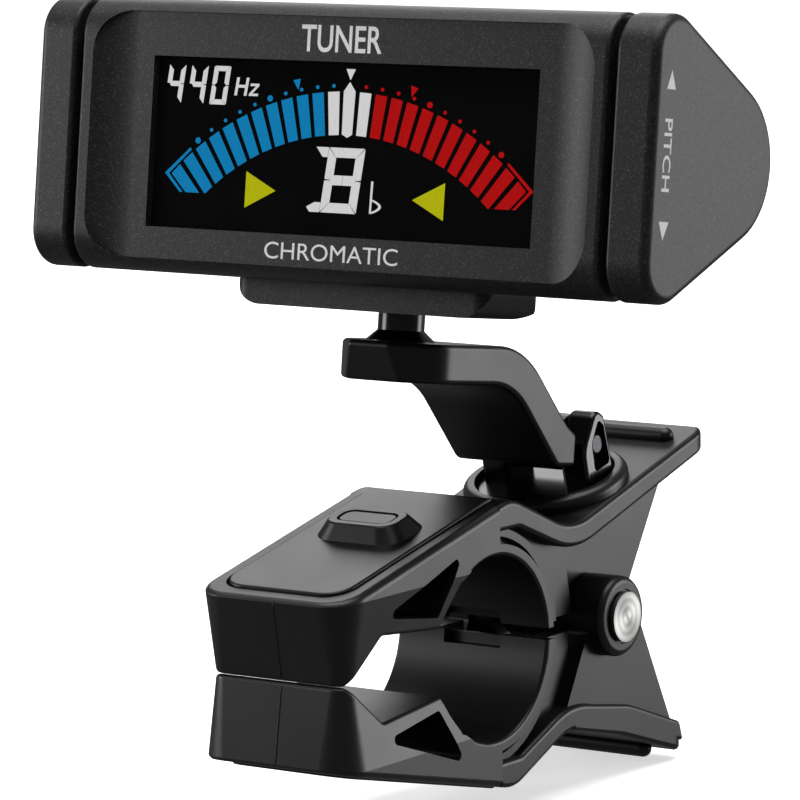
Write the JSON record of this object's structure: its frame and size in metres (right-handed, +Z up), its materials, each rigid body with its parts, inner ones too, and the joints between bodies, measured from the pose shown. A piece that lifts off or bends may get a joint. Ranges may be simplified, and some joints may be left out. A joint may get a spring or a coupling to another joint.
{
  "type": "clip on tuner",
  "caption": "Clip-on instrument tuner: wide display head on a tilting, turning arm above a sprung two-lever clip with soft pads and a round throat.",
  "frame": {"origin": "centre of the round throat of the clip", "axes": "+X along the throat, +Y from the jaw tips to the finger ends, +Z up through the head"},
  "size_m": [0.072, 0.0655, 0.0799],
  "materials": {
    "lever_plastic": "moulded, satin",
    "soft_rubber": "matte soft elastomer",
    "spring_steel": "drawn wire",
    "bright_steel": "turned, bright",
    "post_plastic": "smooth",
    "head_plastic": "dark grey metallic lacquer, fine flake",
    "window_clear": "clear polished",
    "display_black": "black display with coloured segments",
    "guide_white": "milky acrylic",
    "board_green": "solder mask",
    "chip_black": "moulded epoxy",
    "cable_amber": "polyimide film",
    "sensor_brass": "thin sheet",
    "cell_sleeve": "shrink sleeve",
    "contact_metal": "nickel plated"
  },
  "bodies": {
    "upper_jaw": {"upper_lever": "lever_plastic", "upper_pad": "soft_rubber", "upper_liner": "soft_rubber", "upper_pad_stud": "lever_plastic", "torsion_spring": "spring_steel"},
    "lower_jaw": {"lower_lever": "lever_plastic", "lower_pad": "soft_rubber", "lower_liner": "soft_rubber", "pivot_pin": "bright_steel"},
    "turret": {"turret_clevis": "lever_plastic", "turret_washer": "bright_steel", "turret_screw": "bright_steel", "hinge_pin": "bright_steel"},
    "arm": {"arm": "lever_plastic", "swivel_post": "post_plastic", "post_clip": "spring_steel"},
    "head": {"foot_block": "head_plastic", "front_case": "head_plastic", "rear_case": "head_plastic", "display_window": "window_clear", "lcd_panel": "display_black", "light_guide": "guide_white", "circuit_board": "board_green", "processor": "chip_black", "display_cable": "cable_amber", "pickup_sensor": "sensor_brass", "power_switch": "chip_black", "pitch_switch": "chip_black", "battery": "cell_sleeve", "contact_plate": "contact_metal", "contact_spring": "contact_metal", "case_screws": "bright_steel", "power_cap_spring": "spring_steel", "pitch_cap_spring": "spring_steel"},
    "battery_cover": {"battery_cover": "head_plastic"},
    "power_cap": {"power_cap": "head_plastic"},
    "pitch_cap": {"pitch_cap": "head_plastic"}
  },
  "joints": [
    {"name": "jaw_open", "type": "hinge", "parent": "upper_jaw", "child": "lower_jaw", "pos_m": [0, 0.0213, 0], "axis": [1, 0, 0], "range_deg": [0, 28], "stiffness_Nm_per_rad": 0.35, "springref_deg": -25.78, "deforming": ["torsion_spring"]},
    {"name": "turret_turn", "type": "hinge", "parent": "upper_jaw", "child": "turret", "pos_m": [0, 0.023, 0.01214], "axis": [0, -0.2419, 0.9703], "continuous": true},
    {"name": "arm_tilt", "type": "hinge", "parent": "turret", "child": "arm", "pos_m": [0, 0.0232, 0.017], "axis": [-1, 0, 0], "range_deg": [-10, 80]},
    {"name": "head_swivel", "type": "hinge", "parent": "arm", "child": "head", "pos_m": [0, -0.0024, 0.03288], "axis": [0, 0.1253, 0.9921], "continuous": true},
    {"name": "cover_off", "type": "slide", "parent": "head", "child": "battery_cover", "axis": [0, 0.9921, -0.1253], "range_m": [0, 0.012]},
    {"name": "power_twist", "type": "hinge", "parent": "head", "child": "power_cap", "pos_m": [-0.034, -0.00428, 0.04914], "axis": [1, 0, 0], "range_deg": [-6, 6], "stiffness_Nm_per_rad": 0.02},
    {"name": "pitch_twist", "type": "hinge", "parent": "head", "child": "pitch_cap", "pos_m": [0.034, -0.00428, 0.04914], "axis": [1, 0, 0], "range_deg": [-6, 6], "stiffness_Nm_per_rad": 0.02}
  ]
}
